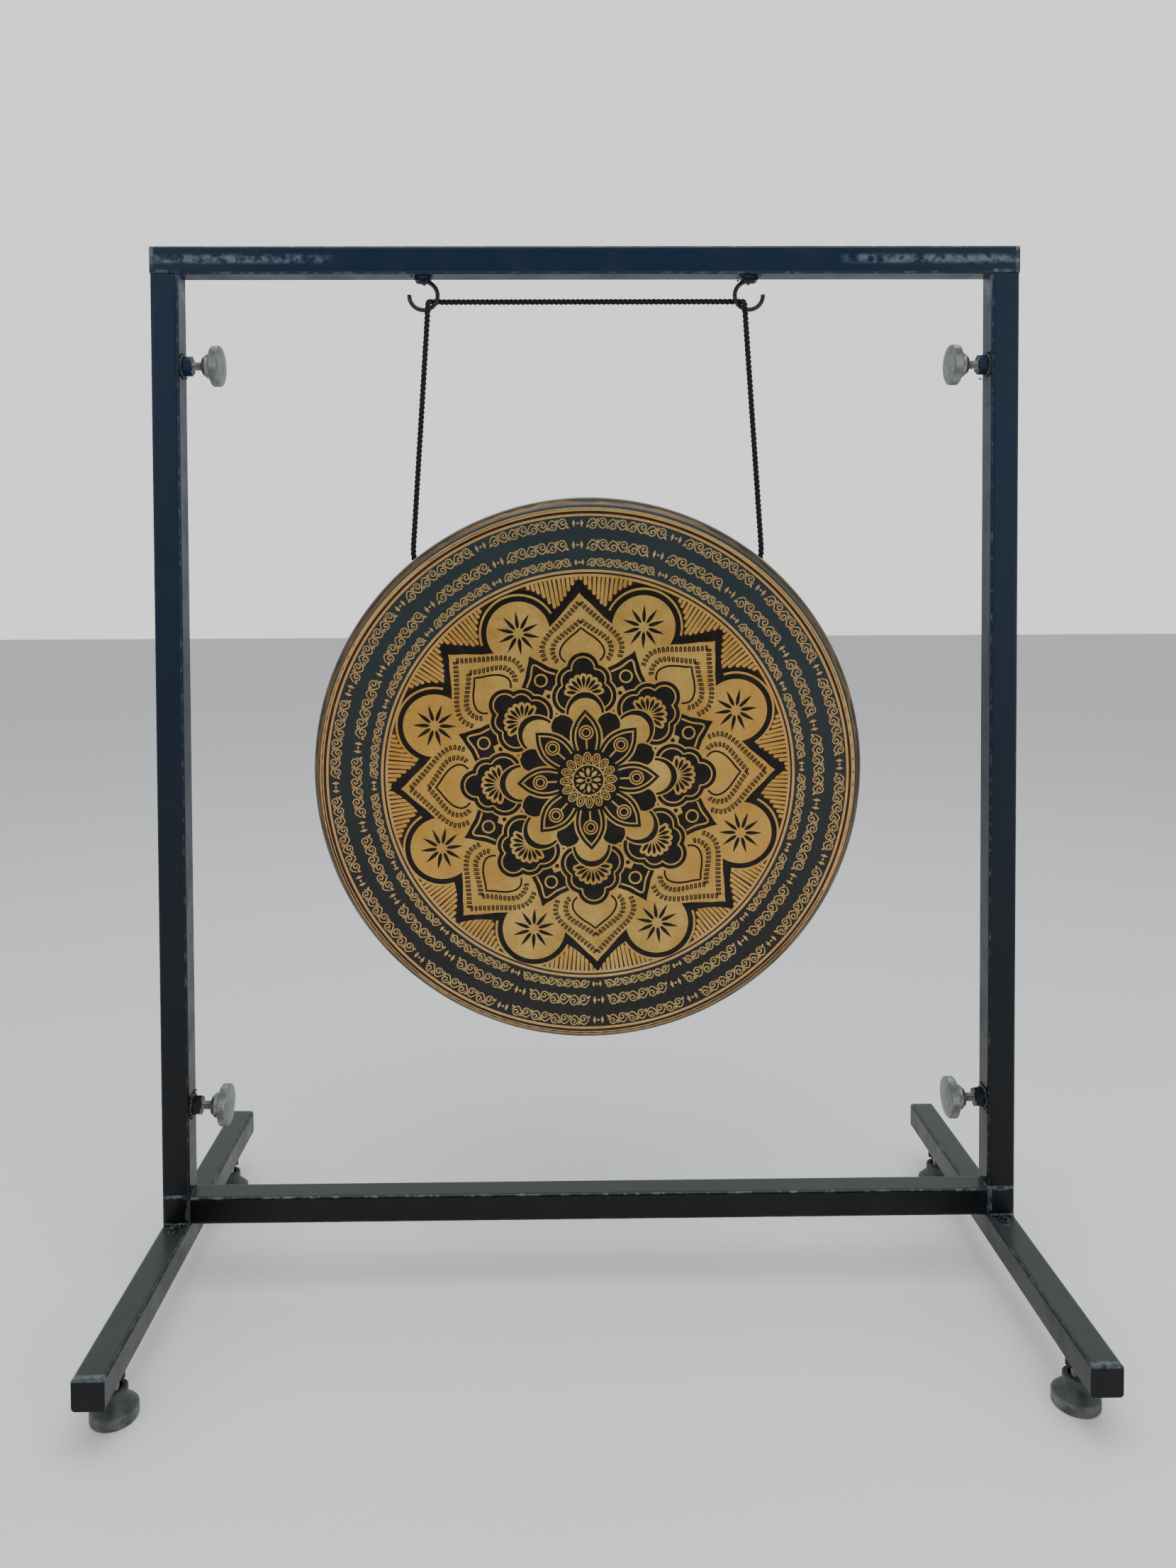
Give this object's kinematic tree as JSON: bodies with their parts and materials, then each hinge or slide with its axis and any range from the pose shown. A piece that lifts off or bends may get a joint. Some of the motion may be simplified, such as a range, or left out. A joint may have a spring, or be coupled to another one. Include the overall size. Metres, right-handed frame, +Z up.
{
  "type": "tam tam gong",
  "caption": "Disc gong with a turned-back rim and engraved face, hung by a cord from two ring hooks in a knock-down square-tube floor stand with thumb screws and levelling feet.",
  "frame": {"origin": "on the floor under the middle of the stand", "axes": "+X to the right when facing the gong's decorated face, +Y from the face to the back, +Z up"},
  "size_m": [0.7922, 0.425, 0.95],
  "materials": {
    "stand_paint": "satin black enamel over welded steel tube, chipped at corners",
    "knob_steel": "turned and knurled steel, dull grey plating",
    "stud_steel": "rolled thread, zinc plated",
    "foot_pad": "moulded black nylon, slightly dusty",
    "cord": "black twisted cord",
    "gong_bronze": "black lacquered bronze face, grey polished rim",
    "gong_gold": "bright bronze ornament cut through the lacquer"
  },
  "bodies": {
    "base": {"crossbar": "stand_paint", "front_left_foot_nut": "stand_paint", "front_right_foot_nut": "stand_paint", "left_base_spigot": "stand_paint", "left_corner_block": "stand_paint", "left_leg": "stand_paint", "leg_end_plates": "stand_paint", "rear_left_foot_nut": "stand_paint", "rear_right_foot_nut": "stand_paint", "right_base_spigot": "stand_paint", "right_corner_block": "stand_paint", "right_leg": "stand_paint"},
    "columns": {"left_column": "stand_paint", "lower_left_screw_nut": "stand_paint", "lower_right_screw_nut": "stand_paint", "right_column": "stand_paint", "upper_left_screw_nut": "stand_paint", "upper_right_screw_nut": "stand_paint"},
    "beam": {"beam_end_plates": "stand_paint", "cord_top": "cord", "left_hook": "stand_paint", "left_hook_pad": "stand_paint", "left_top_spigot": "stand_paint", "right_hook": "stand_paint", "right_hook_pad": "stand_paint", "right_top_spigot": "stand_paint", "top_beam": "stand_paint"},
    "cords": {"left_cord_drop": "cord", "right_cord_drop": "cord"},
    "gong": {"gong": "gong_bronze", "left_knot": "cord", "right_knot": "cord"},
    "upper_left_screw": {"upper_left_screw_stud": "stud_steel"},
    "upper_left_knob": {"upper_left_screw_knob": "knob_steel"},
    "upper_right_screw": {"upper_right_screw_stud": "stud_steel"},
    "upper_right_knob": {"upper_right_screw_knob": "knob_steel"},
    "lower_left_screw": {"lower_left_screw_stud": "stud_steel"},
    "lower_left_knob": {"lower_left_screw_knob": "knob_steel"},
    "lower_right_screw": {"lower_right_screw_stud": "stud_steel"},
    "lower_right_knob": {"lower_right_screw_knob": "knob_steel"},
    "front_left_foot_screw": {"front_left_foot_stud": "stud_steel"},
    "front_left_foot": {"front_left_foot_pad": "foot_pad"},
    "front_right_foot_screw": {"front_right_foot_stud": "stud_steel"},
    "front_right_foot": {"front_right_foot_pad": "foot_pad"},
    "rear_left_foot_screw": {"rear_left_foot_stud": "stud_steel"},
    "rear_left_foot": {"rear_left_foot_pad": "foot_pad"},
    "rear_right_foot_screw": {"rear_right_foot_stud": "stud_steel"},
    "rear_right_foot": {"rear_right_foot_pad": "foot_pad"}
  },
  "joints": [
    {"name": "frame_lift", "type": "slide", "parent": "base", "child": "columns", "axis": [0, 0, 1], "range_m": [0, 0.1]},
    {"name": "beam_lift", "type": "slide", "parent": "columns", "child": "beam", "axis": [0, 0, 1], "range_m": [0, 0.1]},
    {"name": "cord_swing", "type": "hinge", "parent": "beam", "child": "cords", "pos_m": [0, -0.0048, 0.8905], "axis": [1, 0, 0], "range_deg": [-40, 40]},
    {"name": "gong_tilt", "type": "hinge", "parent": "cords", "child": "gong", "pos_m": [0, -0.0048, 0.671], "axis": [1, 0, 0], "range_deg": [-12, 12]},
    {"name": "upper_left_screw_travel", "type": "slide", "parent": "columns", "child": "upper_left_screw", "axis": [1, 0, 0], "range_m": [0, 0.01]},
    {"name": "upper_left_knob_turn", "type": "hinge", "parent": "upper_left_screw", "child": "upper_left_knob", "pos_m": [-0.3465, 0, 0.845], "axis": [1, 0, 0], "range_deg": [-5, 2885]},
    {"name": "upper_right_screw_travel", "type": "slide", "parent": "columns", "child": "upper_right_screw", "axis": [-1, 0, 0], "range_m": [0, 0.01]},
    {"name": "upper_right_knob_turn", "type": "hinge", "parent": "upper_right_screw", "child": "upper_right_knob", "pos_m": [0.3465, 0, 0.845], "axis": [-1, 0, 0], "range_deg": [-5, 2885]},
    {"name": "lower_left_screw_travel", "type": "slide", "parent": "columns", "child": "lower_left_screw", "axis": [1, 0, 0], "range_m": [0, 0.01]},
    {"name": "lower_left_knob_turn", "type": "hinge", "parent": "lower_left_screw", "child": "lower_left_knob", "pos_m": [-0.3465, 0, 0.17], "axis": [1, 0, 0], "range_deg": [-5, 2885]},
    {"name": "lower_right_screw_travel", "type": "slide", "parent": "columns", "child": "lower_right_screw", "axis": [-1, 0, 0], "range_m": [0, 0.01]},
    {"name": "lower_right_knob_turn", "type": "hinge", "parent": "lower_right_screw", "child": "lower_right_knob", "pos_m": [0.3465, 0, 0.17], "axis": [-1, 0, 0], "range_deg": [-5, 2885]},
    {"name": "front_left_foot_travel", "type": "slide", "parent": "base", "child": "front_left_foot_screw", "axis": [0, 0, 1], "range_m": [-0.01, 0.00375]},
    {"name": "front_left_foot_turn", "type": "hinge", "parent": "front_left_foot_screw", "child": "front_left_foot", "pos_m": [-0.3775, -0.1625, 0], "axis": [0, 0, 1], "range_deg": [-2885, 1085]},
    {"name": "front_right_foot_travel", "type": "slide", "parent": "base", "child": "front_right_foot_screw", "axis": [0, 0, 1], "range_m": [-0.01, 0.00375]},
    {"name": "front_right_foot_turn", "type": "hinge", "parent": "front_right_foot_screw", "child": "front_right_foot", "pos_m": [0.3775, -0.1625, 0], "axis": [0, 0, 1], "range_deg": [-2885, 1085]},
    {"name": "rear_left_foot_travel", "type": "slide", "parent": "base", "child": "rear_left_foot_screw", "axis": [0, 0, 1], "range_m": [-0.01, 0.00375]},
    {"name": "rear_left_foot_turn", "type": "hinge", "parent": "rear_left_foot_screw", "child": "rear_left_foot", "pos_m": [-0.3775, 0.1625, 0], "axis": [0, 0, 1], "range_deg": [-2885, 1085]},
    {"name": "rear_right_foot_travel", "type": "slide", "parent": "base", "child": "rear_right_foot_screw", "axis": [0, 0, 1], "range_m": [-0.01, 0.00375]},
    {"name": "rear_right_foot_turn", "type": "hinge", "parent": "rear_right_foot_screw", "child": "rear_right_foot", "pos_m": [0.3775, 0.1625, 0], "axis": [0, 0, 1], "range_deg": [-2885, 1085]}
  ],
  "couplings": [
    {"joint": "upper_left_knob_turn", "follows": "upper_left_screw_travel", "rad_per_m": 5026.5},
    {"joint": "upper_right_knob_turn", "follows": "upper_right_screw_travel", "rad_per_m": 5026.5},
    {"joint": "lower_left_knob_turn", "follows": "lower_left_screw_travel", "rad_per_m": 5026.5},
    {"joint": "lower_right_knob_turn", "follows": "lower_right_screw_travel", "rad_per_m": 5026.5},
    {"joint": "front_left_foot_turn", "follows": "front_left_foot_travel", "rad_per_m": 5026.5},
    {"joint": "front_right_foot_turn", "follows": "front_right_foot_travel", "rad_per_m": 5026.5},
    {"joint": "rear_left_foot_turn", "follows": "rear_left_foot_travel", "rad_per_m": 5026.5},
    {"joint": "rear_right_foot_turn", "follows": "rear_right_foot_travel", "rad_per_m": 5026.5}
  ]
}
